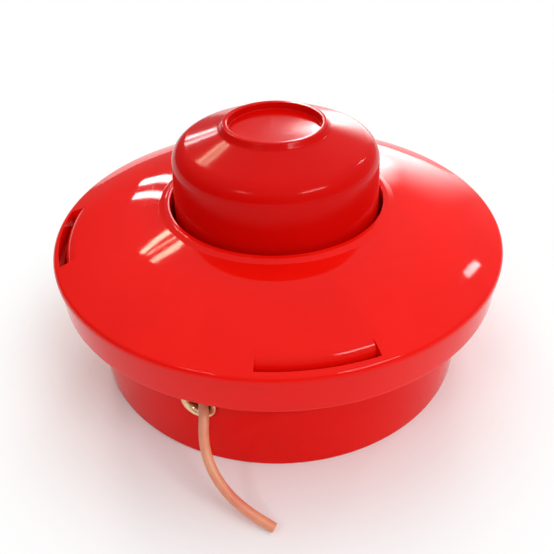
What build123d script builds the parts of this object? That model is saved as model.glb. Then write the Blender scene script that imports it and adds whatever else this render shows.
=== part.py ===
from build123d import *
import math
import os

# Bump-feed trimmer head, standing on its drive side with the tap knob on top.
# The axis is +Z and the ground is z = 0. Sizes are millimetres and angles are degrees.

# Housing: a drafted cup on an open ring foot, with a hub post and a bayonet flange
base_inset = 7.3
base_draft = 1.1
housing_wall = 2.4
foot_height = 4.0
floor_thickness = 2.6
boss_radius = 17.0
boss_recess = 1.0
rib_count = 8
rib_width = 2.0
hub_radius = 13.2
hub_lead = 3.0
flange_thickness = 2.2
upstand_height = 3.0
foot_rounding = 0.8

# Threaded steel insert in the hub
thread_radius = 4.35
shank_radius = 7.0
hex_across_flats = 17.0
hex_height = 9.0
insert_recess = 0.8
insert_clearance = 0.1

# Line eyelets in the wall of the housing
eyelet_count = 2
eyelet_angle = -110.8
eyelet_height = 20.6
eyelet_radius = 4.4
eyelet_throat = 2.75
eyelet_barrel = 3.5
eyelet_face = 1.3
eyelet_flare = 1.2
eyelet_rounding = 0.35
eyelet_lip = 0.8
eyelet_lip_radius = 4.3
eyelet_clearance = 0.1
spot_depth = 0.6
spot_margin = 0.35
pad_rise = 0.5
pad_radius = 5.2

# Cover: a dome with a collar in the middle and a skirt round the rim
rim_radius = 60.0
rim_height = 2.3
rim_rounding = 1.6
bead_low = 35.7
bead_step = 0.4
skirt_height = 8.1
skirt_draft = 0.1
skirt_wall = 1.7
skirt_rounding = 0.7
lip_width = 1.9
lip_rounding = 0.8
dome_inset = 14.0
dome_fall = 5.6
crown_fall = 2.6
dome_fullness = 0.75
dome_wall = 2.6
collar_gap = 0.5
collar_wall = 2.7
seat_width = 2.0

# Bayonet: skirt lugs below flange tabs, with a window over each lug
bayonet_count = 4
bayonet_angle = -82.2
window_arc = 26.6
window_inset = 1.7
window_width = 2.7
window_drop = 1.7
lug_arc_play = 1.5
lug_lift = 0.5
lug_thickness = 2.2
lug_reach = 2.2
lug_clearance = 0.4
bayonet_play = 0.1
tab_lead = 1.0
stop_arc = 2.0
stop_depth = 2.0

# Spool with two line channels, ratchet lugs and a neck with snap fingers
line_diameter = 2.4
turns_across = 3
channel_play = 0.4
winding_inset = 6.0
winding_clearance = 0.1
spool_gap = 6.0
divider_inset = 2.0
flange_plate = 2.0
divider_plate = 1.4
web_thickness = 3.0
core_wall = 2.2
hub_clearance = 0.25
tap_travel = 5.0
press_clearance = 0.8
neck_height = 17.0
barb_height = 2.5
barb_reach = 1.1
finger_count = 4
finger_slot = 4.0
finger_root = 4.0
notch_count = 4
notch_width = 3.0
notch_depth = 4.0
tooth_count = 8
tooth_arc = 10.0
tooth_gap_arc = 0.5
tooth_height = 3.6
tooth_clearance = 0.4
tooth_inset = 0.3

# Spring and its washers
wire_diameter = 1.6
spring_clearance = 1.2
spring_turns = 6
washer_thickness = 1.0
washer_clearance = 0.3
washer_margin = 0.8
core_clearance = 0.5

# Tap knob: a hollow cap with an inner sleeve over the neck
knob_height = 66.9
knob_radius = 27.8
knob_taper = 1.4
shoulder_drop = 5.6
shoulder_rounding = 5.5
knob_wall = 2.4
knob_lift = 4.0
ring_radius = 13.1
ring_width = 1.3
ring_spread = 0.9
ring_height = 1.5
dish_depth = 1.9
dish_sag = 0.4
sleeve_wall = 2.2
sleeve_clearance = 0.3
brace_count = 6
brace_width = 1.6
key_clearance = 0.2
snap_clearance = 0.1

# Route of the free line's middle, from inside the eyelet to its cut end
line_fullness = 0.45
line_points = [
    (-18.1, -46.4, 21.3),
    (-18.0, -49.7, 20.2),
    (-17.8, -52.7, 18.4),
    (-17.9, -55.1, 16.3),
    (-17.7, -57.2, 14.0),
    (-16.9, -59.4, 11.7),
    (-15.4, -61.9, 9.4),
    (-13.0, -64.4, 7.1),
    (-9.9, -66.6, 5.0),
    (-6.2, -68.5, 3.0),
    (-2.3, -70.1, 1.3),
]

# Heights that follow from the sizes above
floor_top = foot_height + floor_thickness
skirt_low = bead_low - skirt_height
lug_low = skirt_low + lug_lift
lug_top = lug_low + lug_thickness
flange_low = lug_top + bayonet_play
flange_top = flange_low + flange_thickness
upstand_top = flange_top + upstand_height
channel_width = turns_across * line_diameter + channel_play
spool_low = floor_top + tap_travel + press_clearance
channel_lows = [
    spool_low + flange_plate,
    spool_low + flange_plate + channel_width + divider_plate,
]
spool_top = channel_lows[1] + channel_width + flange_plate
web_low = spool_top - web_thickness
neck_top = spool_top + neck_height
barb_low = neck_top - barb_height
hub_top = spool_top + hub_lead
insert_top = hub_top - insert_recess
hex_low = insert_top - hex_height
collar_low = spool_top + tooth_height
knob_low = spool_top + knob_lift
rim_corner_height = bead_low + rim_height
dome_break_height = rim_corner_height + dome_fall
lip_height = dome_break_height + crown_fall
shoulder_height = knob_height - shoulder_drop
ring_foot_height = knob_height - ring_height
dish_height = knob_height - dish_depth
spring_low = floor_top + washer_thickness
spring_top = web_low - washer_thickness

# Radii that follow from the sizes above
hub_bore = shank_radius + insert_clearance
spring_radius = hub_radius + spring_clearance + wire_diameter / 2
washer_outer = spring_radius + wire_diameter / 2 + washer_margin
washer_inner = hub_radius + washer_clearance
web_bore = hub_radius + hub_clearance
core_inner = washer_outer + core_clearance
core_outer = core_inner + core_wall
sleeve_inner = core_outer + sleeve_clearance
sleeve_outer = sleeve_inner + sleeve_wall
base_radius = rim_radius - base_inset
spool_radius = base_radius - housing_wall - spool_gap
divider_radius = spool_radius - divider_inset
winding_radius = spool_radius - winding_inset
knob_top_radius = knob_radius - knob_taper
ring_foot_radius = ring_radius + ring_spread
collar_bore = knob_radius + collar_gap
collar_outer = collar_bore + collar_wall
lip_radius = collar_bore + lip_width
dome_break_radius = rim_radius - dome_inset
skirt_top_radius = rim_radius - bead_step
skirt_top_inner = skirt_top_radius - skirt_wall
window_outer = rim_radius - window_inset
window_inner = window_outer - window_width


def base_outer(height):
    """Radius of the housing's outer wall at a height."""
    return base_radius + base_draft * height / flange_low


def skirt_inner(height):
    """Radius of the inside of the cover's skirt at a height."""
    share = (bead_low - height) / (bead_low - skirt_low)
    return skirt_top_inner - skirt_draft * share


def dome_height(radius):
    """Height of the cover's dome at a radius."""
    if radius < dome_break_radius:
        share = (radius - lip_radius) / (dome_break_radius - lip_radius)
        return lip_height + share * (dome_break_height - lip_height)
    share = (radius - dome_break_radius) / (rim_radius - dome_break_radius)
    return dome_break_height + share * (rim_corner_height - dome_break_height)


def widest_arc(before, corner, after, share):
    """Radius of an arc at a corner that takes up a share of the shorter run beside it."""
    entry = Vector(corner) - Vector(before)
    leave = Vector(after) - Vector(corner)
    half_turn = math.radians(entry.get_angle(leave)) / 2
    return share * min(entry.length, leave.length) / math.tan(half_turn)


def half_plane(angle):
    """Upright plane through the axis: local x is the radius and local y the height."""
    turn = math.radians(angle)
    outward = (math.cos(turn), math.sin(turn), 0)
    sideways = (math.sin(turn), -math.cos(turn), 0)
    return Plane(origin=(0, 0, 0), x_dir=outward, z_dir=sideways)


def radial_plane(angle, height):
    """Plane across a radial bore: local z points outwards from the axis."""
    turn = math.radians(angle)
    outward = (math.cos(turn), math.sin(turn), 0)
    return Plane(origin=(0, 0, height), x_dir=(0, 0, 1), z_dir=outward)


def outline(*corners):
    """Draws a closed outline; a corner is (radius, height) or (radius, height, fillet)."""
    points = [corner[:2] for corner in corners]
    fillets = [corner[2] if len(corner) > 2 else 0 for corner in corners]
    FilletPolyline(*points, radius=fillets, close=True)


def ring_blocks(count, first_angle, arc, radii, heights, mode=Mode.ADD):
    """Adds or cuts blocks between two radii and two heights, spread evenly round the axis."""
    for number in range(count):
        start = first_angle + number * 360 / count - arc / 2
        with BuildSketch(half_plane(start)) as section:
            with BuildLine():
                outline(
                    (radii[0], heights[0]),
                    (radii[1], heights[0]),
                    (radii[1], heights[1]),
                    (radii[0], heights[1]),
                )
            make_face()
        revolve(section.sketch, axis=Axis.Z, revolution_arc=arc, mode=mode)


def spokes(count, first_angle, width, radii, heights, mode=Mode.ADD):
    """Adds or cuts straight radial bars of one width, spread evenly round the axis."""
    for number in range(count):
        angle = math.radians(first_angle + number * 360 / count)
        bar = Plane(
            origin=(0, 0, heights[0]),
            x_dir=(math.cos(angle), math.sin(angle), 0),
            z_dir=(0, 0, 1),
        )
        with BuildSketch(bar) as section:
            with Locations(((radii[0] + radii[1]) / 2, 0)):
                Rectangle(radii[1] - radii[0], width)
        extrude(section.sketch, amount=heights[1] - heights[0], mode=mode)


def washer(low, label):
    """Flat steel ring round the hub, one face of the spring's seat."""
    with BuildPart() as ring:
        with BuildSketch(Plane.XY.offset(low)):
            Circle(washer_outer)
            Circle(washer_inner, mode=Mode.SUBTRACT)
        extrude(amount=washer_thickness)
    ring.part.label = label
    return ring.part


lug_inner = skirt_inner(lug_top) - lug_reach
gap_radius = lug_inner - lug_clearance
lug_arc = window_arc - lug_arc_play

os.makedirs("parts", exist_ok=True)
eyelet_angles = [eyelet_angle + number * 360 / eyelet_count for number in range(eyelet_count)]
spot_radius = base_outer(eyelet_height) - spot_depth
pad_face = base_outer(eyelet_height) - housing_wall - pad_rise

# Housing, moulded in one piece
with BuildPart() as housing:
    with BuildSketch(Plane.XZ):
        with BuildLine():
            outline(
                (hub_bore, boss_recess),
                (boss_radius, boss_recess),
                (boss_radius, foot_height),
                (base_outer(0) - housing_wall, foot_height),
                (base_outer(0) - housing_wall, 0),
                (base_outer(0), 0, foot_rounding),
                (base_outer(flange_low), flange_low),
                (gap_radius, flange_low),
                (gap_radius, flange_top),
                (base_outer(flange_low), flange_top),
                (base_outer(flange_low), upstand_top),
                (base_outer(flange_low) - housing_wall, upstand_top),
                (base_outer(floor_top) - housing_wall, floor_top),
                (hub_radius, floor_top),
                (hub_radius, hub_top),
                (hub_bore, hub_top),
            )
        make_face()
    revolve(axis=Axis.Z)
    # Radial ribs under the floor, between the boss and the foot
    spokes(
        rib_count,
        eyelet_angle,
        rib_width,
        (boss_radius - rib_width, base_outer(0) - housing_wall / 2),
        (boss_recess, foot_height),
    )
    # Flange tabs, each with a stop for its lug
    tab_radius = skirt_inner(flange_low) - lug_clearance
    tab_arc = lug_arc + 2 * tab_lead
    ring_blocks(
        bayonet_count,
        bayonet_angle,
        tab_arc,
        (base_outer(flange_low), tab_radius),
        (flange_low, flange_top),
    )
    ring_blocks(
        bayonet_count,
        bayonet_angle - (tab_arc + stop_arc) / 2,
        stop_arc,
        (base_outer(flange_low), tab_radius),
        (flange_low - stop_depth, flange_top),
    )
    # Hexagonal pocket for the insert
    with BuildSketch(Plane.XY.offset(hex_low)):
        RegularPolygon(hex_across_flats / 2 + insert_clearance, 6, major_radius=False)
    extrude(until=Until.LAST, mode=Mode.SUBTRACT)
    # Eyelet seats: a pad inside, a spot face outside and a bore through both
    for angle in eyelet_angles:
        across = radial_plane(angle, eyelet_height)
        with BuildSketch(across.offset(pad_face)):
            Circle(pad_radius)
        extrude(amount=spot_radius - pad_face)
        with BuildSketch(across.offset(spot_radius)):
            Circle(eyelet_radius + spot_margin)
        extrude(amount=spot_depth + housing_wall, mode=Mode.SUBTRACT)
        with BuildSketch(across.offset(pad_face)):
            Circle(eyelet_barrel + eyelet_clearance)
        extrude(amount=spot_radius - pad_face, mode=Mode.SUBTRACT)
housing.part.label = "housing"
export_step(housing.part, "parts/housing.step")

# Steel insert: a hexagon in the hub's pocket and a shank down to the drive face
with BuildPart() as drive_insert:
    with BuildSketch(Plane.XY.offset(boss_recess)):
        Circle(shank_radius)
    extrude(amount=hex_low - boss_recess)
    with BuildSketch(Plane.XY.offset(hex_low)):
        RegularPolygon(hex_across_flats / 2, 6, major_radius=False)
    extrude(amount=hex_height)
    with BuildSketch(Plane.XY.offset(boss_recess)):
        Circle(thread_radius)
    extrude(amount=insert_top - boss_recess, mode=Mode.SUBTRACT)
drive_insert.part.label = "drive_insert"
export_step(drive_insert.part, "parts/drive_insert.step")

# Eyelets: turned bushes with a flared mouth and a lip rolled over inside
for name, angle in zip(("front_eyelet", "rear_eyelet"), eyelet_angles):
    with BuildPart() as eyelet:
        bush = radial_plane(angle, eyelet_height)
        with BuildSketch(Plane(origin=bush.origin, x_dir=(0, 0, 1), z_dir=bush.y_dir)):
            with BuildLine():
                mouth = spot_radius + eyelet_face
                inside = pad_face - eyelet_lip
                outline(
                    (eyelet_throat, -inside, eyelet_lip / 2),
                    (eyelet_lip_radius, -inside, eyelet_lip / 2),
                    (eyelet_lip_radius, -pad_face),
                    (eyelet_barrel, -pad_face),
                    (eyelet_barrel, -spot_radius),
                    (eyelet_radius, -spot_radius),
                    (eyelet_radius, -mouth, eyelet_rounding),
                    (eyelet_throat, -mouth, eyelet_flare),
                )
            make_face()
        revolve(axis=Axis(bush.origin, bush.z_dir))
    eyelet.part.label = name
    export_step(eyelet.part, f"parts/{name}.step")

# Cover, moulded in one piece
with BuildPart() as cover:
    rib_outer = base_outer(flange_low)
    rib_inner = rib_outer - seat_width
    lip = (lip_radius, lip_height)
    dome_break = (dome_break_radius, dome_break_height)
    rim_corner = (rim_radius, rim_corner_height)
    under_collar = (collar_outer, dome_height(collar_outer) - dome_wall)
    under_break = (dome_break_radius, dome_break_height - dome_wall)
    under_rim = (skirt_top_inner, dome_height(skirt_top_inner) - dome_wall)
    with BuildSketch(Plane.XZ):
        with BuildLine():
            outline(
                (skirt_inner(skirt_low), skirt_low),
                (skirt_inner(skirt_low) + skirt_wall, skirt_low, skirt_rounding),
                (skirt_top_radius, bead_low),
                (rim_radius, bead_low, bead_step / 2),
                (*rim_corner, rim_rounding),
                (*dome_break, widest_arc(rim_corner, dome_break, lip, dome_fullness)),
                (*lip, lip_rounding),
                (collar_bore, lip_height, lip_rounding / 2),
                (collar_bore, collar_low),
                (collar_outer, collar_low),
                under_collar,
                (*under_break, widest_arc(under_collar, under_break, under_rim, dome_fullness)),
                under_rim,
            )
        make_face()
    revolve(axis=Axis.Z)
    # Ring under the dome that sits on the housing's upstand
    with BuildSketch(Plane.XZ):
        with BuildLine():
            outline(
                (rib_inner, upstand_top),
                (rib_outer, upstand_top),
                (rib_outer, dome_height(rib_outer) - 0.75 * dome_wall),
                (rib_inner, dome_height(rib_inner) - 0.75 * dome_wall),
            )
        make_face()
    revolve(axis=Axis.Z)
    # Windows over the lugs, then the lugs on the skirt
    ring_blocks(
        bayonet_count,
        bayonet_angle,
        window_arc,
        (window_inner, window_outer),
        (bead_low - window_drop, dome_break_height),
        mode=Mode.SUBTRACT,
    )
    ring_blocks(
        bayonet_count,
        bayonet_angle,
        lug_arc,
        (lug_inner, skirt_inner(lug_top) + skirt_wall / 2),
        (lug_low, lug_top),
    )
    # Ratchet teeth below the collar
    ring_blocks(
        tooth_count,
        bayonet_angle,
        tooth_arc,
        (collar_bore + tooth_inset, collar_outer - tooth_inset),
        (spool_top + tooth_clearance, collar_low + tooth_inset),
    )
cover.part.label = "cover"
export_step(cover.part, "parts/cover.step")

# Spool: flanges, divider and core in one, with its neck above
with BuildPart() as spool:
    with BuildSketch(Plane.XZ):
        with BuildLine():
            outline(
                (web_bore, web_low),
                (core_inner, web_low),
                (core_inner, spool_low),
                (spool_radius, spool_low),
                (spool_radius, channel_lows[0]),
                (core_outer, channel_lows[0]),
                (core_outer, channel_lows[0] + channel_width),
                (divider_radius, channel_lows[0] + channel_width),
                (divider_radius, channel_lows[1]),
                (core_outer, channel_lows[1]),
                (core_outer, channel_lows[1] + channel_width),
                (spool_radius, channel_lows[1] + channel_width),
                (spool_radius, spool_top),
                (core_outer, spool_top),
                (core_outer, barb_low),
                (core_outer + barb_reach, barb_low),
                (core_inner + core_wall / 2, neck_top),
                (core_inner, neck_top),
                (core_inner, spool_top),
                (web_bore, spool_top),
            )
        make_face()
    revolve(axis=Axis.Z)
    # Slots that free the snap fingers
    spokes(
        finger_count,
        bayonet_angle,
        finger_slot,
        (hub_radius, core_outer + 2 * barb_reach),
        (spool_top + finger_root, neck_top),
        mode=Mode.SUBTRACT,
    )
    # Notches in the flanges that park a line end
    spokes(
        notch_count,
        bayonet_angle,
        notch_width,
        (spool_radius - notch_depth, spool_radius + notch_depth),
        (spool_low, spool_top),
        mode=Mode.SUBTRACT,
    )
    # Ratchet teeth, each just past a tooth of the cover
    ring_blocks(
        tooth_count,
        bayonet_angle + tooth_arc + tooth_gap_arc,
        tooth_arc,
        (collar_bore + tooth_inset, collar_outer - tooth_inset),
        (spool_top - flange_plate / 2, spool_top + tooth_height),
    )
spool.part.label = "spool"
export_step(spool.part, "parts/spool.step")

# Wound line: one solid in each channel, its outer face scalloped by the turns
for name, low in zip(("lower_line_winding", "upper_line_winding"), channel_lows):
    with BuildPart() as winding:
        inner = core_outer + winding_clearance
        first = low + channel_play / 2
        shoulder = winding_radius - line_diameter / 2
        with BuildSketch(Plane.XZ):
            with BuildLine():
                for turn in range(turns_across):
                    start = first + turn * line_diameter
                    ThreePointArc(
                        (shoulder, start),
                        (winding_radius, start + line_diameter / 2),
                        (shoulder, start + line_diameter),
                    )
                last = first + turns_across * line_diameter
                Polyline((shoulder, last), (inner, last), (inner, first), (shoulder, first))
            make_face()
        revolve(axis=Axis.Z)
    winding.part.label = name
    export_step(winding.part, f"parts/{name}.step")

# Spring between its two washers
export_step(washer(floor_top, "spring_seat"), "parts/spring_seat.step")
export_step(washer(spring_top, "thrust_washer"), "parts/thrust_washer.step")
with BuildPart() as spring:
    rise = spring_top - spring_low - wire_diameter
    with BuildLine() as coil:
        Helix(
            pitch=rise / spring_turns,
            height=rise,
            radius=spring_radius,
            center=(0, 0, spring_low + wire_diameter / 2),
        )
    with BuildSketch(Plane(coil.line @ 0, z_dir=coil.line % 0)):
        Circle(wire_diameter / 2)
    sweep(path=coil.line, is_frenet=True)
spring.part.label = "spring"
export_step(spring.part, "parts/spring.step")

# Tap knob, moulded in one piece
with BuildPart() as knob:
    groove = core_outer + barb_reach + sleeve_clearance
    ceiling = shoulder_height - knob_wall
    crown = dish_height - dish_sag - knob_wall
    skin_radius = knob_top_radius - knob_wall
    ceiling_rounding = min(shoulder_rounding - knob_wall, 0.8 * (skin_radius - sleeve_outer))
    with BuildSketch(Plane.XZ):
        with BuildLine():
            outline(
                (0, crown),
                (0, dish_height - dish_sag),
                (ring_radius - ring_width, dish_height),
                (ring_radius - ring_width, knob_height, ring_width / 4),
                (ring_radius, knob_height, ring_width / 3),
                (ring_foot_radius, ring_foot_height, ring_width / 2),
                (knob_top_radius, shoulder_height, shoulder_rounding),
                (knob_radius, knob_low),
                (knob_radius - knob_wall, knob_low),
                (skin_radius, ceiling, ceiling_rounding),
                (sleeve_outer, ceiling),
                (sleeve_outer, spool_top),
                (sleeve_inner, spool_top),
                (sleeve_inner, barb_low - snap_clearance),
                (groove, barb_low - snap_clearance),
                (groove, neck_top + sleeve_clearance),
                (sleeve_inner, neck_top + sleeve_clearance),
                (sleeve_inner, ceiling),
            )
        make_face()
    revolve(axis=Axis.Z)
    # Braces between the sleeve and the skin
    spokes(
        brace_count,
        bayonet_angle,
        brace_width,
        (sleeve_outer - sleeve_wall / 2, skin_radius + knob_wall / 2),
        (knob_low + knob_wall, ceiling),
    )
    # Keys that enter the slots between the fingers
    spokes(
        finger_count,
        bayonet_angle,
        finger_slot - 2 * key_clearance,
        (core_inner + sleeve_clearance, sleeve_inner + sleeve_wall / 3),
        (spool_top + finger_root + key_clearance, barb_low - barb_height),
    )
knob.part.label = "tap_knob"
export_step(knob.part, "parts/tap_knob.step")

# Free line: straight runs joined by arcs as large as the runs allow
corners = zip(line_points, line_points[1:], line_points[2:])
bends = [widest_arc(*corner, line_fullness) for corner in corners]
with BuildPart() as line_end:
    with BuildLine() as route:
        FilletPolyline(*line_points, radius=bends)
    with BuildSketch(Plane(route.line @ 0, z_dir=route.line % 0)):
        Circle(line_diameter / 2)
    sweep(path=route.line)
line_end.part.label = "line_end"
export_step(line_end.part, "parts/line_end.step")
line_length = sum(edge.length for edge in route.edges())
section_area = math.pi * line_diameter**2 / 4
print("line bends", [round(bend, 1) for bend in bends])
print("line length", round(line_length, 2))
print("line volume over section times length", line_end.part.volume / (section_area * line_length))
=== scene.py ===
import math

import bmesh
import bpy
import numpy as np
from mathutils import Matrix


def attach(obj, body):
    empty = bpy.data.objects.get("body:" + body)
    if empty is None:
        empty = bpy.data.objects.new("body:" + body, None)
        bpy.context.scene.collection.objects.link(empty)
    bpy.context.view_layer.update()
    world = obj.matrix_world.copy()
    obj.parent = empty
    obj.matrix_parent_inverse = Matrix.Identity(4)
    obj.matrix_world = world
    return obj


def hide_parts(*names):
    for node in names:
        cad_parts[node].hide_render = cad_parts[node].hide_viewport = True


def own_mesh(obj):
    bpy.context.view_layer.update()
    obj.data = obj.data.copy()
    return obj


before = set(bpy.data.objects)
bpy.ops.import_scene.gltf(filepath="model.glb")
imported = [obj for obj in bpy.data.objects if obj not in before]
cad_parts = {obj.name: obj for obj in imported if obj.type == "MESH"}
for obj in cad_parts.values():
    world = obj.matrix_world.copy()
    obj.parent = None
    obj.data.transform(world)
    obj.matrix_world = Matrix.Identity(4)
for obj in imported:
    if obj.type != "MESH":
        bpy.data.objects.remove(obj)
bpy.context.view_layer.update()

# HOUSING
# The cup that carries everything: a drafted wall on an open foot, a ribbed floor, a hub post and
# the bayonet flange, injection moulded in one piece of red nylon. Each eyelet sits in a spot face.
mm = 0.001
bayonet_middle = -82.2
lock_turns = bayonet_middle + 90 * np.arange(4)
eyelet_turn, eyelet_level, eyelet_seat = -110.8, 20.6, 3.5
eyelet_turns = (eyelet_turn, eyelet_turn + 180)
spot_face, spot_across, spot_edge = 52.845, 4.75, 0.4
wall_foot, wall_top, wall_thickness, wall_draft = 52.7, 53.8, 2.4, 0.25
boss_radius, boss_under, floor_under, floor_over = 17.0, 1.0, 4.0, 6.6
rib_count, rib_width, rib_radii, rib_heights = 8, 2.0, (15.5, 51.2), (1.06, 4.4)
hub_wall, hub_hole, hub_over = 13.2, 7.1, 36.0
flange_under, flange_over, upstand_over = 30.4, 32.6, 35.6
flange_gap_radius, tab_radii, tab_arc = 55.233, (53.0, 57.434), 27.1
stop_drop, stop_arc, stop_back = 2.0, 2.0, 14.55
housing_red = (0.82, 0.0045, 0.0015, 1)
housing_deep = (0.70, 0.003, 0.001, 1)


def rounded(corners, closed=True, steps=7, guard=0.25, per_mm=1.2):
    """Profile through (r, z, fillet) corners. A fillet is the arc tangent to both runs, whose
    middle lies on the bisector at fillet / sin(half angle); guard points hold the flat runs."""
    ends = [np.array(corner[:2], float) for corner in corners]
    count = len(ends)
    points = []
    for i, corner in enumerate(corners):
        fillet = corner[2] if len(corner) > 2 else 0
        inner = closed or 0 < i < count - 1
        if not inner or not fillet:
            points.append(ends[i][None])
            continue
        back = ends[i - 1] - ends[i]
        on = ends[(i + 1) % count] - ends[i]
        back_run, on_run = np.linalg.norm(back), np.linalg.norm(on)
        back, on = back / back_run, on / on_run
        half = math.acos(np.clip(back @ on, -1, 1)) / 2
        reach = fillet / math.tan(half)
        middle = ends[i] + (back + on) / np.linalg.norm(back + on) * fillet / math.sin(half)
        start, stop = ends[i] + back * reach - middle, ends[i] + on * reach - middle
        first = math.atan2(start[1], start[0])
        sweep = (math.atan2(stop[1], stop[0]) - first + math.pi) % (2 * math.pi) - math.pi
        angle = first + sweep * np.linspace(0, 1, max(steps, int(abs(sweep) * fillet * per_mm)))
        arc = middle + fillet * np.stack([np.cos(angle), np.sin(angle)], -1)
        before = ends[i] + back * min(reach + guard, 0.5 * (reach + back_run))
        after = ends[i] + on * min(reach + guard, 0.5 * (reach + on_run))
        points += [before[None], arc, after[None]]
    return np.concatenate(points)


def full_turn(count):
    """Angles of equal columns once round the axis."""
    return np.radians(np.arange(count) * 360 / count)


def lathe(profile, turn, origin=(0, 0, 0), side=(1, 0, 0), across=(0, 1, 0), axis=(0, 0, 1)):
    """Surface of revolution: point (r, z) at angle t is origin + r cos t side + r sin t across
    + z axis. The grid has one row for each profile point and one column for each angle."""
    side, across, axis = (np.array(way, float) for way in (side, across, axis))
    r, z = profile[:, 0, None, None], profile[:, 1, None, None]
    t = np.asarray(turn)[None, :, None]
    return np.array(origin, float) + r * (np.cos(t) * side + np.sin(t) * across) + z * axis


def carried(section, origins, outs, ups):
    """Section (a, b) carried along a path: origin + a out + b up, with each end row drawn
    together to the section's middle, so that the bar is closed."""
    a, b = section[None, :, 0, None], section[None, :, 1, None]
    rows = origins[:, None] + a * outs[:, None] + b * ups[:, None]
    first, last = rows[:1].mean(1, keepdims=True), rows[-1:].mean(1, keepdims=True)
    width = len(section)
    return np.concatenate([first.repeat(width, 1), rows, last.repeat(width, 1)])


def bar_section(sides, heights, edge):
    """Rectangle with rounded corners, between two sides and two heights."""
    return rounded([(sides[0], heights[0], edge), (sides[1], heights[0], edge),
                    (sides[1], heights[1], edge), (sides[0], heights[1], edge)], steps=4)


def arc_bar(radii, heights, middle, arc, edge=0.3, fewest=6, per_degree=1.5):
    """Bar between two radii and two heights: its section is carried round the axis, so that each
    point (r, z) stands at r (cos t, sin t) + z up, over the angles t of an arc."""
    columns = max(fewest, int(arc * per_degree))
    turn = np.radians(middle + np.linspace(-arc / 2, arc / 2, columns))
    outs = np.stack([np.cos(turn), np.sin(turn), 0 * turn], -1)
    ups = np.tile((0.0, 0.0, 1.0), (columns, 1))
    return carried(bar_section(radii, heights, edge), 0 * outs, outs, ups)


def radial_bar(width, radii, heights, angle, edge=0.25, rows=5):
    """Straight bar that points away from the axis: its section is carried from one radius to the
    other along (cos angle, sin angle)."""
    turn = math.radians(angle)
    outward = np.array([math.cos(turn), math.sin(turn), 0])
    origins = np.linspace(radii[0], radii[1], rows)[:, None] * outward
    outs = np.tile((math.sin(turn), -math.cos(turn), 0.0), (rows, 1))
    ups = np.tile((0.0, 0.0, 1.0), (rows, 1))
    return carried(bar_section((-width / 2, width / 2), heights, edge), origins, outs, ups)


def tubes(grids):
    """Grids that close over their columns only, with every cell kept."""
    return [(grid, False, True, None) for grid in grids]


def shell(name, grids, material, sharp=32, bevel=0, weld=2e-7, sliver=1e-7):
    """One object from grids of points in millimetres. A grid is (points, closed over its rows,
    closed over its columns, mask of the cells to keep); a cell joins four neighbours. Rows that
    meet in one point are merged, and the uv map is the length along and round each grid."""
    points, faces, maps, start = [], [], [], 0
    for grid, closed_rows, closed_columns, keep in grids:
        rows, columns = grid.shape[:2]
        i = np.arange(rows if closed_rows else rows - 1)[:, None]
        j = np.arange(columns if closed_columns else columns - 1)[None, :]
        up, right = (i + 1) % rows, (j + 1) % columns
        cells = np.stack([i * columns + j, i * columns + right, up * columns + right,
                          up * columns + j], -1)
        step = np.linalg.norm(np.diff(grid.mean(1), axis=0), axis=-1)
        turn = np.linalg.norm(np.diff(grid, axis=0), axis=-1).mean(1)
        along = np.concatenate([[0], np.cumsum(np.maximum(step, turn))])
        chosen = np.ones(cells.shape[:2], bool) if keep is None else keep
        faces.append(cells[chosen] + start)
        near, far = along[i] + 0 * j, along[np.minimum(i + 1, rows - 1)] + 0 * j
        left = 0 * i + j
        u = np.stack([near, near, far, far], -1) * mm
        v = np.stack([left, left + 1, left + 1, left], -1) / columns
        maps.append(np.stack([u, v], -1)[chosen])
        points.append(grid.reshape(-1, 3))
        start += rows * columns
    points, faces, maps = np.concatenate(points) * mm, np.concatenate(faces), np.concatenate(maps)
    mesh = bpy.data.meshes.new(name)
    mesh.vertices.add(len(points))
    mesh.vertices.foreach_set("co", points.ravel())
    mesh.loops.add(faces.size)
    mesh.loops.foreach_set("vertex_index", faces.ravel())
    mesh.polygons.add(len(faces))
    mesh.polygons.foreach_set("loop_start", np.arange(0, faces.size, 4))
    layer = mesh.uv_layers.new(name="along_and_round")
    layer.data.foreach_set("uv", maps.reshape(-1))
    mesh.update(calc_edges=True)
    merged = bmesh.new()
    merged.from_mesh(mesh)
    bmesh.ops.remove_doubles(merged, verts=merged.verts, dist=weld)
    bmesh.ops.dissolve_degenerate(merged, edges=merged.edges, dist=sliver)
    bmesh.ops.recalc_face_normals(merged, faces=merged.faces)
    merged.to_mesh(mesh)
    merged.free()
    mesh.shade_smooth()
    mesh.set_sharp_from_angle(angle=math.radians(sharp))
    mesh.materials.append(material)
    piece = bpy.data.objects.new(name, mesh)
    bpy.context.scene.collection.objects.link(piece)
    if bevel:
        rounding = piece.modifiers.new("edge_rounding", "BEVEL")
        rounding.width = bevel * mm
        rounding.segments = 2
        rounding.limit_method = "ANGLE"
        rounding.angle_limit = math.radians(45)
        rounding.harden_normals = True
    return piece


def socket_group(name, **inputs):
    """Shader node group with the named inputs, each of a kind, and with the outputs of a finish."""
    group = bpy.data.node_groups.new(name, "ShaderNodeTree")
    for label, kind in inputs.items():
        group.interface.new_socket(label.replace("_", " "), in_out="INPUT",
                                   socket_type="NodeSocket" + kind)
    for label, kind in (("Colour", "Color"), ("Roughness", "Float"), ("Normal", "Vector")):
        group.interface.new_socket(label, in_out="OUTPUT", socket_type="NodeSocket" + kind)
    given, result = group.nodes.new("NodeGroupInput"), group.nodes.new("NodeGroupOutput")
    return group, given.outputs, result.inputs


def place(tree, kind, settings=None, **inputs):
    """Adds a node, sets its properties, and sets or links its inputs. An input is named by its
    label, or by i and its number."""
    node = tree.nodes.new(kind)
    for label, value in (settings or {}).items():
        setattr(node, label, value)
    for label, value in inputs.items():
        number = int(label[1:]) if label[0] == "i" and label[1:].isdigit() else None
        socket = node.inputs[number if number is not None else label.replace("_", " ")]
        if isinstance(value, bpy.types.NodeSocket):
            tree.links.new(value, socket)
        else:
            socket.default_value = value
    return node


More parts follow.
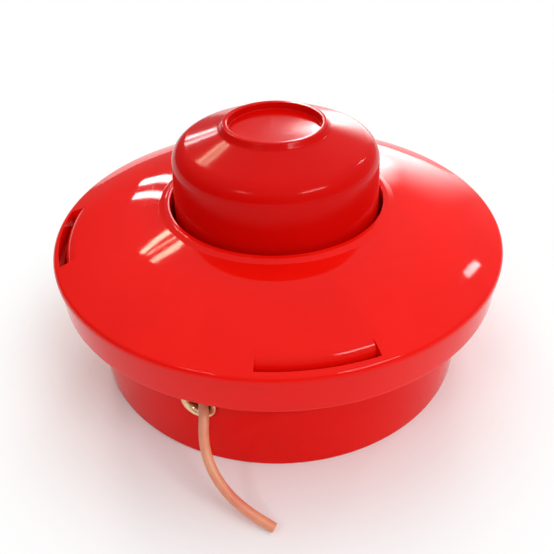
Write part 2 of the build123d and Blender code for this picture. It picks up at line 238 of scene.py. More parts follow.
def noise(tree, vector, scale, detail, **more):
    """Value of a noise texture."""
    return place(tree, "ShaderNodeTexNoise", Vector=vector, Scale=scale, Detail=detail,
                 **more).outputs["Fac"]


def ramp(tree, value, start, stop, low=0.0, high=1.0, kind="LINEAR"):
    """Value that goes from low at start to high at stop, and stays there beyond them."""
    return place(tree, "ShaderNodeMapRange", {"interpolation_type": kind}, Value=value, i1=start,
                 i2=stop, i3=low, i4=high).outputs["Result"]


def maths(tree, operation, *values, clamp=False):
    """Result of a sum on two or three values."""
    return place(tree, "ShaderNodeMath", {"operation": operation, "use_clamp": clamp},
                 **{f"i{k}": value for k, value in enumerate(values)}).outputs[0]


def blend(tree, share, first, second):
    """Mix of two colours."""
    return place(tree, "ShaderNodeMix", {"data_type": "RGBA"}, Factor=share, i6=first,
                 i7=second).outputs[2]


def relief(tree, height, strength, distance):
    """Normal of a surface with a fine height."""
    return place(tree, "ShaderNodeBump", Strength=strength, Distance=distance,
                 Height=height).outputs["Normal"]


# Moulded skin: flow clouds in the colour, faint hairline scuffs in the gloss, and the slow
# ripple that a cooling moulding keeps, which bends its reflections
moulded, given, result = socket_group(
    "moulded_skin", Colour="Color", Deep_Colour="Color", Place="Vector", Gloss="Float",
    Scuff="Float", Ripple="Float")
cloud = noise(moulded, given["Place"], 38.0, 3.0, Roughness=0.55, Distortion=0.6)
cloud_share = ramp(moulded, cloud, 0.35, 0.72, high=0.45)
moulded.links.new(blend(moulded, cloud_share, given["Colour"], given["Deep Colour"]),
                  result["Colour"])
stretch = place(moulded, "ShaderNodeMapping", Vector=given["Place"], Rotation=(0.4, 0.2, 0.9),
                Scale=(2200.0, 70.0, 900.0))
hair = ramp(moulded, noise(moulded, stretch.outputs["Vector"], 1.0, 2.0), 0.62, 0.74)
hair_part = maths(moulded, "MULTIPLY", hair, given["Scuff"])
haze = noise(moulded, given["Place"], 420.0, 4.0)
haze_part = maths(moulded, "MULTIPLY_ADD", haze, 0.03, given["Gloss"])
moulded.links.new(maths(moulded, "ADD", hair_part, haze_part, clamp=True), result["Roughness"])
ripple = maths(moulded, "MULTIPLY", noise(moulded, given["Place"], 85.0, 1.0), given["Ripple"])
grain = noise(moulded, given["Place"], 2600.0, 1.0)
skin_height = maths(moulded, "MULTIPLY_ADD", grain, 0.004, ripple)
moulded.links.new(relief(moulded, skin_height, 0.35, 0.001), result["Normal"])


def bare_material(name):
    """New material, with its node tree, its shader and its coordinates."""
    material = bpy.data.materials.new(name)
    material.use_nodes = True
    tree = material.node_tree
    where = place(tree, "ShaderNodeTexCoord").outputs
    return material, tree, tree.nodes["Principled BSDF"], where


def wear(tree, finish, shader):
    """Links a finish's colour, roughness and normal to the shader."""
    tree.links.new(finish.outputs["Colour"], shader.inputs["Base Color"])
    tree.links.new(finish.outputs["Roughness"], shader.inputs["Roughness"])
    tree.links.new(finish.outputs["Normal"], shader.inputs["Normal"])


def moulded_plastic(name, colour, deep, gloss=0.035, scuff=0.10, ripple=0.12, specular=0.15):
    """Moulded nylon, as glossy as its mould was polished."""
    material, tree, shader, where = bare_material(name)
    skin = place(tree, "ShaderNodeGroup", {"node_tree": moulded}, Colour=colour, Deep_Colour=deep,
                 Place=where["Object"], Gloss=gloss, Scuff=scuff, Ripple=ripple)
    wear(tree, skin, shader)
    shader.inputs["IOR"].default_value = 1.5
    shader.inputs["Specular IOR Level"].default_value = specular
    return material


wall_inner = wall_foot - wall_thickness
housing_profile = rounded([
    (hub_hole, boss_under, 0.3), (boss_radius, boss_under, 0.4), (boss_radius, floor_under, 0.4),
    (wall_inner, floor_under, 0.4), (wall_inner, 0.0, 0.4), (wall_foot, 0.0, 0.8),
    (wall_top, flange_under, 0.3), (flange_gap_radius, flange_under, 0.3),
    (flange_gap_radius, flange_over, 0.3), (wall_top, flange_over, 0.3),
    (wall_top, upstand_over, 0.4), (wall_top - wall_thickness, upstand_over, 0.4),
    (wall_inner + wall_draft, floor_over, 0.4), (hub_wall, floor_over, 0.4),
    (hub_wall, hub_over, 0.5), (hub_hole, hub_over, 0.3)])
# The wall's long run, which starts past the foot's rounding, gets rows for the eyelets' seats
seat_rows, foot_height, foot_reach = 60, 1.5, 1.2
foot_off = np.hypot(housing_profile[:, 0] - wall_foot, housing_profile[:, 1] - foot_height)
low = np.nonzero(foot_off < foot_reach)[0].max()
rise = np.linspace(0, 1, seat_rows + 2)[1:-1, None]
housing_profile = np.concatenate([
    housing_profile[:low + 1],
    housing_profile[low] + rise * (housing_profile[low + 1] - housing_profile[low]),
    housing_profile[low + 1:]])
# The columns are close together only where they pass an eyelet
seat_half, seat_cells, wall_cells, wall_from = 8, 40, 120, 40.0
half_turn = np.concatenate([np.linspace(-seat_half, seat_half, seat_cells + 1)[:-1],
                            np.linspace(seat_half, 180 - seat_half, wall_cells + 1)[:-1]])
around = np.radians(eyelet_turn + np.concatenate([half_turn, half_turn + 180]))
housing_grid = lathe(housing_profile, around)


def wall_ways(turn):
    """The way out of the wall at an angle, and the way along it."""
    out = np.array([math.cos(math.radians(turn)), math.sin(math.radians(turn)), 0])
    return out, np.array([-out[1], out[0], 0])


bore = np.zeros(housing_grid.shape[:2], bool)
for turn in eyelet_turns:
    # The spot face is flat: inside its circle the wall is drawn in to the plane x.out = spot_face
    out, beside = wall_ways(turn)
    depth = housing_grid @ out
    off = np.hypot(housing_grid @ beside, housing_grid[..., 2] - eyelet_level)
    pressed = np.clip((spot_across + spot_edge / 2 - off) / spot_edge, 0, 1) * (depth > spot_face)
    housing_grid = housing_grid + (pressed * (spot_face - depth))[..., None] * out
    # The bore leaves out the wall's cells whose middle lies in the bush's seat
    above = np.roll(housing_grid, -1, 0)
    middle = (housing_grid + np.roll(housing_grid, -1, 1) + above + np.roll(above, -1, 1)) / 4
    in_seat = np.hypot(middle @ beside, middle[..., 2] - eyelet_level) < eyelet_seat
    bore |= in_seat & (middle @ out > wall_from)
housing_bars = [radial_bar(rib_width, rib_radii, rib_heights, eyelet_turn + 360 / rib_count * k)
                for k in range(rib_count)]
for turn in lock_turns:
    housing_bars.append(arc_bar(tab_radii, (flange_under, flange_over), turn, tab_arc))
    housing_bars.append(arc_bar(tab_radii, (flange_under - stop_drop, flange_over),
                                turn - stop_back, stop_arc))
housing = shell("housing_cup", [(housing_grid, True, True, ~bore)] + tubes(housing_bars),
                moulded_plastic("housing_nylon", housing_red, housing_deep, specular=0.06))
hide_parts("housing")
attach(housing, "housing")

# DRIVE INSERT
# A turned and plated steel nut moulded into the hub, hexagonal at its top so that it can't spin.
# Its bore has the left-hand thread that the gearbox shaft screws into.
thread_small, thread_large, thread_pitch = 4.35, 5.0, 1.25
thread_columns, thread_rows, ridge_gain, ridge_cut = 48, 360, 1.25, 0.1
insert_foot, insert_over, insert_radius = 1.0, 35.2, 7.0
hex_under, hex_flats, hex_corner, hex_chamfer = 26.2, 17.0, 9.6, 0.5
foot_face, foot_mouth, hex_face, hex_mouth, mouth_throat, mouth_depth = 6.0, 5.2, 6.2, 5.3, 4.6, 0.6
steel_grey = (0.58, 0.58, 0.60, 1)
steel_dull = (0.42, 0.41, 0.40, 1)

# Turned metal: fine tool lines that follow the lathe, crossed by slow colour from the plating
turned, given, result = socket_group(
    "turned_metal", Colour="Color", Tarnish="Color", Place="Vector", Line_Map="Vector",
    Gloss="Float", Line_Depth="Float")
stain = ramp(turned, noise(turned, given["Place"], 240.0, 4.0), 0.42, 0.75, high=0.7)
turned.links.new(blend(turned, stain, given["Colour"], given["Tarnish"]), result["Colour"])
tool_scale = place(turned, "ShaderNodeMapping", Vector=given["Line Map"], Scale=(9000.0, 6.0, 1.0))
tool_lines = noise(turned, tool_scale.outputs["Vector"], 1.0, 2.0)
turned.links.new(maths(turned, "MULTIPLY_ADD", tool_lines, 0.16, given["Gloss"]),
                 result["Roughness"])
line_height = maths(turned, "MULTIPLY", tool_lines, given["Line Depth"])
turned.links.new(relief(turned, line_height, 0.3, 0.0002), result["Normal"])


def plated_metal(name, colour, tarnish, gloss=0.22, line_depth=0.6, mapped=True):
    """Plated metal; a piece without its own uv map takes its lines from Object coordinates."""
    material, tree, shader, where = bare_material(name)
    finish = place(tree, "ShaderNodeGroup", {"node_tree": turned}, Colour=colour, Tarnish=tarnish,
                   Place=where["Object"], Gloss=gloss, Line_Depth=line_depth,
                   Line_Map=where["UV" if mapped else "Object"])
    wear(tree, finish, shader)
    shader.inputs["Metallic"].default_value = 1.0
    return material


insert_turn = full_turn(180)
insert_body = lathe(rounded([(foot_face, insert_foot), (insert_radius, insert_foot, 0.4),
                             (insert_radius, hex_under)], closed=False), insert_turn)
# Hexagon: r = flats / 2 / cos(angle to the nearest flat), drawn in at its chamfered corners. Each
# row is a share of that reach and a height
flat_angle = (insert_turn + math.pi / 6) % (math.pi / 3) - math.pi / 6
hex_reach = np.minimum(hex_flats / 2 / np.cos(flat_angle), hex_corner)
hex_rows = np.array([[0.75, hex_under], [1.0, hex_under], [1.0, insert_over - hex_chamfer],
                     [0.95, insert_over], [0.64, insert_over]])
hex_grid = np.stack([hex_rows[:, :1] * hex_reach * np.cos(insert_turn),
                     hex_rows[:, :1] * hex_reach * np.sin(insert_turn),
                     hex_rows[:, 1:] + 0 * insert_turn], -1)
# Left-hand thread: the radius swings between its two sizes once for each pitch, cut flat at both,
# and the phase z / pitch + angle / turn makes the ridge fall as the angle grows
thread_turn = full_turn(thread_columns)
thread_foot, thread_over = insert_foot + mouth_depth, insert_over - mouth_depth
thread_rise = np.linspace(thread_foot, thread_over, thread_rows)[:, None]
swing = np.abs((thread_rise / thread_pitch + thread_turn / (2 * math.pi)) % 1 * 2 - 1)
ridge = np.clip(ridge_gain * swing - ridge_cut, 0, 1)
thread_radius = thread_small + (thread_large - thread_small) * ridge
thread_grid = np.stack([thread_radius * np.cos(thread_turn), thread_radius * np.sin(thread_turn),
                        thread_rise + 0 * thread_turn], -1)
mouth_low = lathe(np.array([[foot_face, insert_foot], [foot_mouth, insert_foot],
                            [mouth_throat, insert_foot + mouth_depth]]), insert_turn)
mouth_high = lathe(np.array([[mouth_throat, insert_over - mouth_depth], [hex_mouth, insert_over],
                             [hex_face, insert_over]]), insert_turn)
insert = shell("drive_nut", tubes([insert_body, hex_grid, thread_grid, mouth_low, mouth_high]),
               plated_metal("insert_plate", steel_grey, steel_dull))
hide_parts("drive_insert")
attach(insert, "housing")

# LINE EYELETS
# Two plated bushes that keep the line from sawing through the nylon. Each is turned with a flared
# mouth, pushed into its seat from outside, and rolled over into a lip inside the wall.
bush_hole, bush_lip, bush_mouth = 2.75, 4.3, 4.4
lip_inside, lip_outside, mouth_outside = 49.745, 50.545, 54.145
eyelet_metal = (0.88, 0.60, 0.37, 1)
eyelet_dull = (0.62, 0.34, 0.17, 1)
eyelet_profile = rounded([
    (bush_hole, lip_inside, 0.4), (bush_lip, lip_inside, 0.4), (bush_lip, lip_outside, 0.1),
    (eyelet_seat, lip_outside, 0.1), (eyelet_seat, spot_face, 0.1), (bush_mouth, spot_face, 0.1),
    (bush_mouth, mouth_outside, 0.35), (bush_hole, mouth_outside, 1.2)], steps=8, guard=0.1)
eyelet_plate = plated_metal("eyelet_plate", eyelet_metal, eyelet_dull, gloss=0.16)
for name, turn in zip(("front_eyelet", "rear_eyelet"), eyelet_turns):
    out, beside = wall_ways(turn)
    bush_grid = lathe(eyelet_profile, full_turn(96), (0, 0, eyelet_level), beside, (0, 0, 1), out)
    bush = shell(name.replace("eyelet", "bush"), [(bush_grid, True, True, None)], eyelet_plate)
    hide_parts(name)
    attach(bush, "housing")

# FREE LINE
# The end of the cutting line, drawn round nylon, which leaves the front eyelet, bends down under
# its own weight and swings to the side, and is cut off square.
line_route = [
    (-18.1, -46.4, 21.3), (-18.0, -49.7, 20.2), (-17.8, -52.7, 18.4), (-17.9, -55.1, 16.3),
    (-17.7, -57.2, 14.0), (-16.9, -59.4, 11.7), (-15.4, -61.9, 9.4), (-13.0, -64.4, 7.1),
    (-9.9, -66.6, 5.0), (-6.2, -68.5, 3.0), (-2.3, -70.1, 1.3)]
line_across = 2.4
line_salmon = (0.78, 0.34, 0.19, 1)
line_deep = (0.73, 0.215, 0.13, 1)


def drawn_nylon(name):
    """Drawn nylon line: cloudy colour, faint flecks in the gloss, and light that enters it."""
    material, tree, shader, where = bare_material(name)
    milk = ramp(tree, noise(tree, where["Object"], 190.0, 3.0), 0.35, 0.7)
    tree.links.new(blend(tree, milk, line_salmon, line_deep), shader.inputs["Base Color"])
    fleck = noise(tree, where["Object"], 1500.0, 2.0)
    tree.links.new(ramp(tree, fleck, 0.3, 0.7, 0.26, 0.44), shader.inputs["Roughness"])
    tree.links.new(relief(tree, fleck, 0.15, 0.0001), shader.inputs["Normal"])
    shader.inputs["Subsurface Weight"].default_value = 0.35
    shader.inputs["Subsurface Radius"].default_value = (1.0, 0.45, 0.3)
    shader.inputs["Subsurface Scale"].default_value = 0.0012
    return material


line_nylon = drawn_nylon("line_nylon")
line_curve = bpy.data.curves.new("free_line", "CURVE")
line_curve.dimensions = "3D"
line_spline = line_curve.splines.new("NURBS")
line_spline.points.add(len(line_route) - 1)
line_places = np.c_[np.array(line_route) * mm, np.ones(len(line_route))]
line_spline.points.foreach_set("co", line_places.ravel())
line_spline.order_u = 3
line_spline.use_endpoint_u = True
line_spline.resolution_u = line_curve.resolution_u = 12
line_curve.bevel_depth = line_across / 2 * mm
line_curve.bevel_resolution = 6
line_curve.use_fill_caps = True
free_line = bpy.data.objects.new("free_line", line_curve)
free_line.data.materials.append(line_nylon)
bpy.context.scene.collection.objects.link(free_line)
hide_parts("line_end")
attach(free_line, "housing")

# SPRING AND ITS WASHERS
# A coil of drawn steel wire round the hub, ground flat at neither end, between two stamped steel
# washers. It pushes the spool's teeth up against the cover's, and gives when the knob is tapped.
wire_across, coil_radius, coil_turns = 1.6, 15.2, 6
spring_foot, spring_over, tap_travel = 7.6, 29.0, 5.0
rows_each_turn, wire_columns = 40, 14
wire_grey, wire_dull = (0.46, 0.47, 0.49, 1), (0.30, 0.30, 0.31, 1)
washer_grey, washer_dull = (0.60, 0.60, 0.62, 1), (0.45, 0.45, 0.45, 1)
coil_share = np.linspace(0, 1, coil_turns * rows_each_turn + 1)
coil_angle = coil_share * coil_turns * 2 * math.pi
coil_rise = spring_over - spring_foot - wire_across
coil_out = np.stack([np.cos(coil_angle), np.sin(coil_angle), 0 * coil_angle], -1)
coil_path = coil_radius * coil_out
coil_path[:, 2] = spring_foot + wire_across / 2 + coil_rise * coil_share
# The wire's section stands square to the helix: its second way is the path's slope turned up
slope = coil_rise / (coil_turns * 2 * math.pi * coil_radius)
coil_up = np.stack([slope * np.sin(coil_angle), -slope * np.cos(coil_angle),
                    1 + 0 * coil_angle], -1) / math.hypot(1, slope)
wire_turn = full_turn(wire_columns)
wire_section = wire_across / 2 * np.stack([np.cos(wire_turn), np.sin(wire_turn)], -1)
spring = shell("spring_coil", tubes([carried(wire_section, coil_path, coil_out, coil_up)]),
               plated_metal("spring_wire", wire_grey, wire_dull, gloss=0.25))
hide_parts("spring")
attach(spring, "housing")
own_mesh(spring)


def dress(names, material):
    """Gives a finish to CAD nodes that keep their own mesh."""
    for name in names:
        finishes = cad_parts[name].data.materials
        finishes.clear()
        finishes.append(material)


dress(("spring_seat", "thrust_washer"),
      plated_metal("washer_plate", washer_grey, washer_dull, gloss=0.24, mapped=False))

# SPOOL AND WOUND LINE
# The spool is moulded in black nylon, with two channels of wound line between its flanges, teeth
# on its upper face and a neck with snap fingers that holds the knob.
spool_black, spool_deep = (0.022, 0.022, 0.024, 1), (0.012, 0.012, 0.013, 1)
dress(("spool",), moulded_plastic("spool_nylon", spool_black, spool_deep, gloss=0.34, scuff=0.18,
                                  ripple=0.08))
dress(("lower_line_winding", "upper_line_winding"), line_nylon)

# TAP KNOB
# The hollow cap that is knocked on the ground to let line out. It is moulded in red nylon with a
# round shoulder, a raised ring round a shallow dish on top, and a sleeve that grips the neck.
dish_radius, dish_foot, dish_rise, dish_over, dish_run = 11.4, 64.6, 0.4, 65.0, (11.0, 64.98)
ring_inner, ring_outer, ring_over, ring_foot = 11.8, 13.1, 66.9, (14.05, 65.4)
shoulder, shoulder_fillet = (26.4, 61.3), 5.5
knob_radius, knob_inner, knob_foot = 27.8, 25.4, 37.0
ceiling_edge, ceiling, ceiling_middle = 24.0, 58.9, 62.2
sleeve_outer, sleeve_hole, sleeve_foot = 22.0, 19.8, 33.0
groove_radius, groove_under, groove_over = 20.9, 47.4, 50.3
web_count, web_width, web_radii, web_heights = 6, 1.6, (groove_radius, 25.0), (39.4, ceiling)
key_width, key_radii, key_heights = 3.6, (17.6, 20.5), (37.2, 45.0)
knob_red = (0.66, 0.0022, 0.0008, 1)
knob_deep = (0.56, 0.0016, 0.0006, 1)
# The dish is a shallow bowl, z = foot + rise times the square of the share of its radius
dish_share = np.linspace(0, 1, 12)[:-1]
dish = np.stack([dish_radius * dish_share, dish_foot + dish_rise * dish_share ** 2], -1)
# The wall's first corner only gives the ring's inner fillet its direction, and is left out
knob_wall = rounded([
    dish_run, (ring_inner, dish_over, 0.25), (ring_inner, ring_over, 0.4),
    (ring_outer, ring_over, 0.5), (*ring_foot, 1.1), (*shoulder, shoulder_fillet),
    (knob_radius, knob_foot, 0.4), (knob_inner, knob_foot, 0.4), (ceiling_edge, ceiling, 1.6),
    (sleeve_outer, ceiling, 0.3), (sleeve_outer, sleeve_foot, 0.3), (sleeve_hole, sleeve_foot, 0.3),
    (sleeve_hole, groove_under, 0.1), (groove_radius, groove_under, 0.1),
    (groove_radius, groove_over, 0.1), (sleeve_hole, groove_over, 0.1), (sleeve_hole, ceiling, 0.4),
    (0.0, ceiling_middle)], closed=False, steps=12)
knob_profile = np.concatenate([dish, knob_wall[1:]])
knob_bars = [radial_bar(web_width, web_radii, web_heights, bayonet_middle + 360 / web_count * k)
             for k in range(web_count)]
knob_bars += [radial_bar(key_width, key_radii, key_heights, turn) for turn in lock_turns]
knob = shell("tap_cap", tubes([lathe(knob_profile, full_turn(360))] + knob_bars),
             moulded_plastic("knob_nylon", knob_red, knob_deep, gloss=0.10, specular=0.09))
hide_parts("tap_knob")
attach(knob, "spool")

# COVER
# The domed lid, moulded in red nylon. Its skirt laps over the housing and locks with four lugs.
# A window in the rim lies over each of them but the one on the right, and a collar guides the knob.
skirt_inner, skirt_outer, skirt_top, skirt_foot = 57.8, 59.5, 59.6, 27.6
bead_radius, bead_under = 60.0, 35.7
rim, brow, lip = (60.0, 38.0), (46.0, 43.6), (31.2, 45.5)
rim_under, brow_under, collar_under = (57.9, 36.24), (46.0, 41.0), (31.0, 43.468)
collar_hole, collar_wall, collar_foot, collar_flat, collar_over = 28.3, 31.0, 36.6, 29.7, 46.15
window_half, window_near, window_far, window_foot = 13.3, 56.6, 58.3, 34.0
window_places = (0, 2, 3)
window_cells, land_cells = 28, 62
scoop_reach, scoop_fall, rim_slope = 2.9, 2.0, 0.4
seat_near, seat_far, seat_under, seat_over = 51.8, 53.8, 35.6, (39.2, 38.6)
lug_radii, lug_heights, lug_arc = (55.633, 58.6), (28.1, 30.3), 25.1
tooth_count, tooth_radii, tooth_heights, tooth_arc = 8, (28.6, 30.7), (33.4, 36.9), 10.0
cover_red = (0.87, 0.0055, 0.002, 1)
cover_deep = (0.74, 0.004, 0.0015, 1)


def dome_fillet(before, corner, after, share=0.75):
    """Radius of the arc that takes up a share of the shorter run beside a corner."""
    back, on = np.subtract(before, corner), np.subtract(after, corner)
    half = math.acos(back @ on / np.linalg.norm(back) / np.linalg.norm(on)) / 2
    return share * min(np.linalg.norm(back), np.linalg.norm(on)) * math.tan(half)


cover_profile = rounded([
    (skirt_inner, skirt_foot, 0.3), (skirt_outer, skirt_foot, 0.7), (skirt_top, bead_under, 0.15),
    (bead_radius, bead_under, 0.2), (*rim, 1.6), (*brow, dome_fillet(rim, brow, lip)), (*lip, 1.3),
    (collar_flat, collar_over, 0.8), (collar_hole, collar_over, 0.45),
    (collar_hole, collar_foot, 0.3), (collar_wall, collar_foot, 0.3), (*collar_under, 0.4),
    (*brow_under, dome_fillet(rim_under, brow_under, collar_under)), (*rim_under, 0.3)], steps=10)


def split_at(profile, column, value, limits):
    """Adds a point where the profile crosses a radius (column 0) or a height (column 1), between
    two limits of the other coordinate."""
    near, far = profile, np.roll(profile, -1, 0)
    crosses = (near[:, column] - value) * (far[:, column] - value) < 0
    crosses &= (near[:, 1 - column] > limits[0]) & (near[:, 1 - column] < limits[1])
    at = np.nonzero(crosses)[0]
    share = (value - near[at, column]) / (far[at, column] - near[at, column])
    return np.insert(profile, at + 1, near[at] + share[:, None] * (far[at] - near[at]), axis=0)


def rows_at(column, value):
    """Numbers of the cover's profile points at a radius or a height."""
    return np.nonzero(np.abs(cover_profile[:, column] - value) < 1e-6)[0]


# The windows' edges get profile points, on the dome's under face, its outer face, the rim and the
# skirt's inner face
scoop_start = window_near - scoop_reach
cover_profile = split_at(cover_profile, 0, window_near, (36.0, 38.5))
cover_profile = split_at(cover_profile, 0, scoop_start, (38.7, 48.0))
cover_profile = split_at(cover_profile, 0, window_far, (36.5, 48.0))
cover_profile = split_at(cover_profile, 1, window_foot, (57.0, 58.2))
top_far, top_near = rows_at(0, window_far)[0], rows_at(0, scoop_start)[0]
under_near, skirt_cut = rows_at(0, window_near)[-1], rows_at(1, window_foot)[-1]
row = np.arange(len(cover_profile))
in_slot = ((row >= top_far) & (row < top_near)) | ((row >= under_near) & (row < skirt_cut))
slot_span = np.linspace(-window_half, window_half, window_cells + 1)
land_span = np.linspace(window_half, 90 - window_half, land_cells + 1)
window_turn = np.concatenate([slot_span[:-1], land_span[:-1]])
cover_turn = np.radians((lock_turns[:, None] + window_turn).ravel())
in_arc = (np.isin(np.arange(4), window_places)[:, None]
          & (np.arange(len(window_turn)) < window_cells)).ravel()
uncut = ~(in_slot[:, None] & in_arc[None, :])
cover_grids = [(lathe(cover_profile, cover_turn), True, True, uncut)]
# A ring under the dome seats on the housing's upstand
seat = rounded([(seat_near, seat_under, 0.2), (seat_far, seat_under, 0.2),
                (seat_far, seat_over[1]), (seat_near, seat_over[0])])
cover_grids.append((lathe(seat, full_turn(180)), True, True, None))
# The slot's inner edge is scooped: a quarter of an ellipse, sheared to leave the dome along its
# slope and to end upright
scoop = np.linspace(0, math.pi / 2, 13)[1:]
scoop_rows = np.stack([scoop_reach * np.sin(scoop), -rim_slope * scoop_reach * np.sin(scoop)
                       + scoop_fall * (np.cos(scoop) - 1)], -1)
near_wall = np.concatenate([cover_profile[[top_near]], cover_profile[top_near] + scoop_rows,
                            cover_profile[[under_near]]])
far_wall = np.array([cover_profile[top_far], (window_far, window_foot), cover_profile[skirt_cut]])
slot_end = np.concatenate([cover_profile[top_far:top_near], near_wall[:-1],
                           cover_profile[under_near:skirt_cut + 1], far_wall[1:2]])
end_middle = np.array([[57.95, 38.25]])
for k in window_places:
    slot_turn = np.radians(lock_turns[k] + slot_span)
    cover_grids.append((lathe(near_wall, slot_turn), False, False, None))
    cover_grids.append((lathe(far_wall, slot_turn), False, False, None))
    for turn in slot_turn[[0, -1]]:
        # The slot's end is its section's outline, joined to one point inside it
        ring = lathe(slot_end, turn[None])[:, 0]
        point = lathe(end_middle, turn[None])[:, 0]
        cover_grids += tubes([np.stack([ring, point.repeat(len(ring), 0)])])
cover_bars = [arc_bar(lug_radii, lug_heights, turn, lug_arc) for turn in lock_turns]
tooth_turns = bayonet_middle + 360 / tooth_count * np.arange(tooth_count)
cover_bars += [arc_bar(tooth_radii, tooth_heights, turn, tooth_arc) for turn in tooth_turns]
cover = shell("dome_cover", cover_grids + tubes(cover_bars),
              moulded_plastic("cover_nylon", cover_red, cover_deep), bevel=0.3)
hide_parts("cover")
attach(cover, "cover")

# STAGE
# A white table top under soft lamps: one broad box on each side of the camera, windows behind the
# object, and a low panel behind it on the right. The camera stands where the picture was taken.
floor_white = (0.90, 0.90, 0.90, 1)
floor_radius, shade_reach, white_reach, grey_reach = 1.0, (0.062, 0.10), 0.50, 0.80
floor_material, tree, floor_shader, where = bare_material("table_top")
floor_shader.inputs["Base Color"].default_value = floor_white
floor_shader.inputs["Roughness"].default_value = 0.9
# Away from the object's shadow the top is plain white to the camera and in reflections
off = place(tree, "ShaderNodeVectorMath", {"operation": "LENGTH"}, i0=where["Object"])
past_shade = ramp(tree, off.outputs["Value"], *shade_reach, kind="SMOOTHSTEP")
in_frame = ramp(tree, off.outputs["Value"], white_reach, grey_reach, 1.0, 0.0, "SMOOTHSTEP")
path = place(tree, "ShaderNodeLightPath").outputs
seen = maths(tree, "MAXIMUM", path["Is Camera Ray"], path["Is Glossy Ray"])
seen = maths(tree, "MAXIMUM", seen, path["Is Transmission Ray"])
whiten = maths(tree, "MULTIPLY", seen, maths(tree, "MULTIPLY", past_shade, in_frame))
white = place(tree, "ShaderNodeEmission", Color=(1, 1, 1, 1), Strength=1.0)
floor_mix = place(tree, "ShaderNodeMixShader", i0=whiten, i1=floor_shader.outputs["BSDF"],
                  i2=white.outputs["Emission"])
tree.links.new(floor_mix.outputs["Shader"], tree.nodes["Material Output"].inputs["Surface"])
floor_turn = full_turn(72)
floor_edge = floor_radius * np.stack([np.cos(floor_turn), np.sin(floor_turn), 0 * floor_turn], -1)
floor_mesh = bpy.data.meshes.new("table_top")
floor_mesh.from_pydata(floor_edge, [], [list(range(len(floor_edge)))])
floor_mesh.materials.append(floor_material)
table_top = bpy.data.objects.new("table_top", floor_mesh)
bpy.context.scene.collection.objects.link(table_top)

# The room: dim behind on the left, brighter on the right, and brightest overhead
world = bpy.data.worlds.new("studio")
world.use_nodes = True
bpy.context.scene.world = world
tree = world.node_tree
backing = tree.nodes["Background"]
way = place(tree, "ShaderNodeSeparateXYZ",
            Vector=place(tree, "ShaderNodeTexCoord").outputs["Generated"]).outputs
to_right = ramp(tree, way["X"], -0.7, 0.9, 0.16, 0.48, "SMOOTHSTEP")
overhead = ramp(tree, way["Z"], 0.2, 0.95, 0.0, 0.70, "SMOOTHSTEP")
backing.inputs["Color"].default_value = (1, 1, 1, 1)
tree.links.new(maths(tree, "ADD", to_right, overhead), backing.inputs["Strength"])


def stood(side, over, back, at):
    """Matrix of an object whose x, y and z ways are the three given, at a place."""
    return Matrix(np.r_[np.c_[side, over, back, at], [[0, 0, 0, 1]]].tolist())


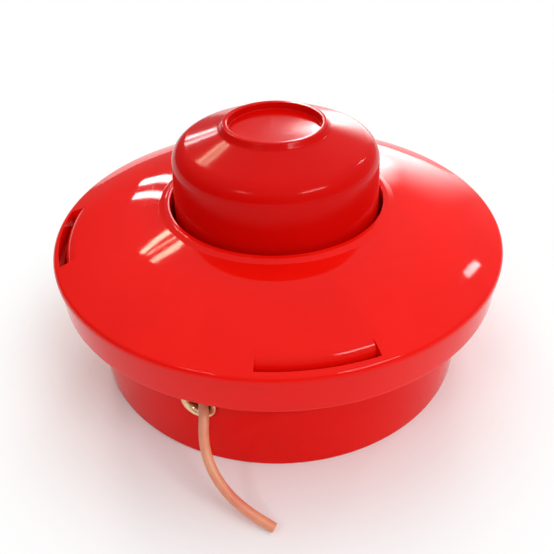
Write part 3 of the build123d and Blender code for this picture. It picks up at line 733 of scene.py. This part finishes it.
def softbox(name, azimuth, elevation, width, height, radiance, colour=(1, 1, 1), roll=0, fade=0,
            far=0.8, aim=(0, 0, 0.045)):
    """Area lamp that faces the object from a direction; its size is given in degrees as seen from
    there, and its power is the radiance times pi times its area. Its light may fade out towards
    its edges, over a share of its sides."""
    a, e = math.radians(azimuth), math.radians(elevation)
    toward = np.array([math.cos(e) * math.cos(a), math.cos(e) * math.sin(a), math.sin(e)])
    lamp = bpy.data.lights.new(name, "AREA")
    lamp.shape = "RECTANGLE"
    lamp.size = 2 * far * math.tan(math.radians(width / 2))
    lamp.size_y = 2 * far * math.tan(math.radians(height / 2))
    lamp.energy = radiance * math.pi * lamp.size * lamp.size_y
    lamp.color = colour
    if fade:
        lamp.use_nodes = True
        tree = lamp.node_tree
        sides = place(tree, "ShaderNodeSeparateXYZ",
                      Vector=place(tree, "ShaderNodeNewGeometry").outputs["Parametric"]).outputs
        share = 1.0
        for label in ("X", "Y"):
            for start, stop in ((0.0, fade), (1.0, 1.0 - fade)):
                share = maths(tree, "MULTIPLY", share,
                              ramp(tree, sides[label], start, stop, kind="SMOOTHSTEP"))
        tree.links.new(share, tree.nodes["Emission"].inputs["Strength"])
    side = np.array([-math.sin(a), math.cos(a), 0.0])
    over = np.cross(toward, side)
    swing = math.radians(roll)
    side, over = (math.cos(swing) * side + math.sin(swing) * over,
                  math.cos(swing) * over - math.sin(swing) * side)
    box = bpy.data.objects.new(name, lamp)
    box.matrix_world = stood(side, over, toward, np.array(aim) + far * toward)
    bpy.context.scene.collection.objects.link(box)


# In front, the boxes that edge the knob's shoulder. Behind on the left, the window and the warm
# bars that the dome shows. Behind on the right, the panel and cards that the dome and dish show
softbox("left_box", -131, 42, 14, 3.6, 14.0)
softbox("right_box", -46, 40, 24, 6, 18.0)
softbox("low_window_upper", 110.2, 17.7, 8.2, 2.3, 22.0, roll=-39.5)
softbox("low_window_lower", 113.1, 22.7, 8.1, 2.1, 20.0, roll=-42)
cream = (1.0, 0.86, 0.62)
softbox("cream_bar_upper", 118.4, 37.7, 10.8, 1.2, 34.0, cream, roll=18)
softbox("cream_bar_middle", 118.2, 39.6, 8.6, 0.35, 30.0, cream, roll=14)
softbox("cream_bar_lower", 117.6, 41.8, 10.8, 1.2, 34.0, cream, roll=16.5)
softbox("cream_bar_end", 111.4, 38.0, 0.6, 4.4, 30.0, cream)
softbox("rear_panel", 76, 6, 44, 40, 6.0, fade=0.45)
softbox("rear_card", 75, 17, 13, 20, 10.0, fade=0.4)
softbox("rear_window", 87.2, 25, 3.8, 5.4, 76.0, fade=0.45)
softbox("lip_card_left", 101, 31, 2.4, 3.0, 18.0)
softbox("slant_card", 36, 31, 2.2, 7, 24.0, roll=20)

# The camera's ways are its right, its up and the reverse of its look
frame_pixels, focal_pixels, sensor = 554, 616.06, 36.0
look = bpy.data.cameras.new("camera")
look.sensor_width = sensor
look.lens = focal_pixels / frame_pixels * sensor
camera = bpy.data.objects.new("camera", look)
right = np.array([0.99969, -0.01335, -0.02112])
ahead = np.array([-0.00233, 0.79192, -0.61062])
right = right - (right @ ahead) * ahead
right = right / np.linalg.norm(right)
eye = np.array([0.0, -144.686, 129.415]) * mm
camera.matrix_world = stood(right, np.cross(right, ahead), -ahead, eye)
bpy.context.scene.collection.objects.link(camera)
bpy.context.scene.camera = camera
bpy.context.scene.view_settings.view_transform = "Standard"
